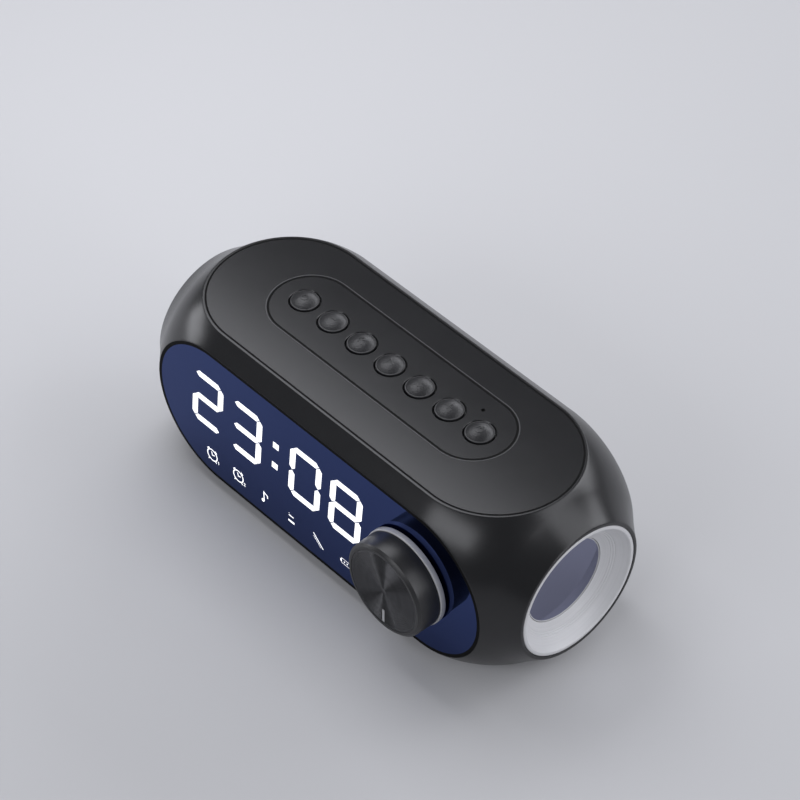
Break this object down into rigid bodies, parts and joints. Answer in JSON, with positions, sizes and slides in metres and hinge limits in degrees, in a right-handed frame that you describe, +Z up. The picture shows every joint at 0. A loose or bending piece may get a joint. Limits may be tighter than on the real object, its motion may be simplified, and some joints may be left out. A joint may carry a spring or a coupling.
{
  "type": "speaker clock",
  "caption": "Capsule-shaped desk clock and speaker with a mirror display face, round push buttons on top, a large front knob and deep silver end bowls.",
  "frame": {"origin": "centre of the foot's underside, under the middle of the body", "axes": "+X along the body towards the knob end, -Y out of the mirror face, +Z up"},
  "size_m": [0.1648, 0.0746, 0.0656],
  "materials": {
    "body_plastic": "satin black moulding",
    "panel_plastic": "fine matt black",
    "button_plastic": "matt charcoal domes",
    "mirror_glass": "navy tinted half mirror",
    "gasket_foam": "black foam",
    "light_box_plastic": "white reflector",
    "segment_plastic": "milky diffuser",
    "circuit_board": "green solder mask",
    "switch_plastic": "black plastic",
    "knob_metal": "black anodised, turned face",
    "knob_silver": "satin silver",
    "mark_paint": "light paint",
    "bright_steel": "plain steel",
    "end_ring_silver": "pale satin, finely turned",
    "cap_mirror": "clear mirror",
    "weight_iron": "dark iron",
    "black_rubber": "matt rubber",
    "basket_steel": "black painted steel",
    "cone_paper": "pressed paper",
    "battery_wrap": "shrink wrap",
    "ribbon_plastic": "flat white cable"
  },
  "bodies": {
    "case": {"main_housing": "body_plastic", "top_plate": "panel_plastic", "button_panel": "panel_plastic", "rear_panel": "panel_plastic", "bottom_cover": "panel_plastic", "mirror_lens": "mirror_glass", "lens_gasket": "gasket_foam", "battery_pad": "gasket_foam", "display_reflector": "light_box_plastic", "display_segments": "segment_plastic", "display_icons": "segment_plastic", "display_board": "circuit_board", "button_board": "circuit_board", "main_board": "circuit_board", "tact_switches": "switch_plastic", "microphone": "switch_plastic", "audio_jack": "switch_plastic", "encoder_case": "bright_steel", "usb_socket": "bright_steel", "card_reader": "bright_steel", "cover_screws": "bright_steel", "board_screws": "bright_steel", "right_end_ring": "end_ring_silver", "left_end_ring": "end_ring_silver", "right_speaker_magnet": "weight_iron", "left_speaker_magnet": "weight_iron", "right_radiator_roll": "black_rubber", "left_radiator_roll": "black_rubber", "right_speaker_surround": "black_rubber", "left_speaker_surround": "black_rubber", "foot_pad": "black_rubber", "microphone_boot": "black_rubber", "right_speaker_basket": "basket_steel", "left_speaker_basket": "basket_steel", "battery_pack": "battery_wrap", "ribbon_cable": "ribbon_plastic"},
    "button_1": {"button_1": "button_plastic"},
    "button_2": {"button_2": "button_plastic"},
    "button_3": {"button_3": "button_plastic"},
    "button_4": {"button_4": "button_plastic"},
    "button_5": {"button_5": "button_plastic"},
    "button_6": {"button_6": "button_plastic"},
    "button_7": {"button_7": "button_plastic"},
    "knob": {"knob_body": "knob_metal", "knob_ring": "knob_silver", "knob_face": "knob_metal", "knob_mark": "mark_paint", "encoder_shaft": "bright_steel"},
    "right_radiator": {"right_radiator_cap": "cap_mirror", "right_radiator_weight": "weight_iron"},
    "right_cone": {"right_speaker_cone": "cone_paper"},
    "left_radiator": {"left_radiator_cap": "cap_mirror", "left_radiator_weight": "weight_iron"},
    "left_cone": {"left_speaker_cone": "cone_paper"}
  },
  "joints": [
    {"name": "button_1_press", "type": "slide", "parent": "case", "child": "button_1", "axis": [0, 0, -1], "range_m": [0, 0.0008], "stiffness_N_per_m": 2500},
    {"name": "button_2_press", "type": "slide", "parent": "case", "child": "button_2", "axis": [0, 0, -1], "range_m": [0, 0.0008], "stiffness_N_per_m": 2500},
    {"name": "button_3_press", "type": "slide", "parent": "case", "child": "button_3", "axis": [0, 0, -1], "range_m": [0, 0.0008], "stiffness_N_per_m": 2500},
    {"name": "button_4_press", "type": "slide", "parent": "case", "child": "button_4", "axis": [0, 0, -1], "range_m": [0, 0.0008], "stiffness_N_per_m": 2500},
    {"name": "button_5_press", "type": "slide", "parent": "case", "child": "button_5", "axis": [0, 0, -1], "range_m": [0, 0.0008], "stiffness_N_per_m": 2500},
    {"name": "button_6_press", "type": "slide", "parent": "case", "child": "button_6", "axis": [0, 0, -1], "range_m": [0, 0.0008], "stiffness_N_per_m": 2500},
    {"name": "button_7_press", "type": "slide", "parent": "case", "child": "button_7", "axis": [0, 0, -1], "range_m": [0, 0.0008], "stiffness_N_per_m": 2500},
    {"name": "knob_turn", "type": "hinge", "parent": "case", "child": "knob", "pos_m": [0.0431, -0.03196, 0.03196], "axis": [0, -1, 0], "continuous": true},
    {"name": "right_radiator_stroke", "type": "slide", "parent": "case", "child": "right_radiator", "axis": [1, 0, 0], "range_m": [-0.0012, 0.0012], "stiffness_N_per_m": 900},
    {"name": "right_cone_stroke", "type": "slide", "parent": "case", "child": "right_cone", "axis": [0, 1, 0], "range_m": [-0.001, 0.001], "stiffness_N_per_m": 1500},
    {"name": "left_radiator_stroke", "type": "slide", "parent": "case", "child": "left_radiator", "axis": [-1, 0, 0], "range_m": [-0.0012, 0.0012], "stiffness_N_per_m": 900},
    {"name": "left_cone_stroke", "type": "slide", "parent": "case", "child": "left_cone", "axis": [0, 1, 0], "range_m": [-0.001, 0.001], "stiffness_N_per_m": 1500}
  ]
}
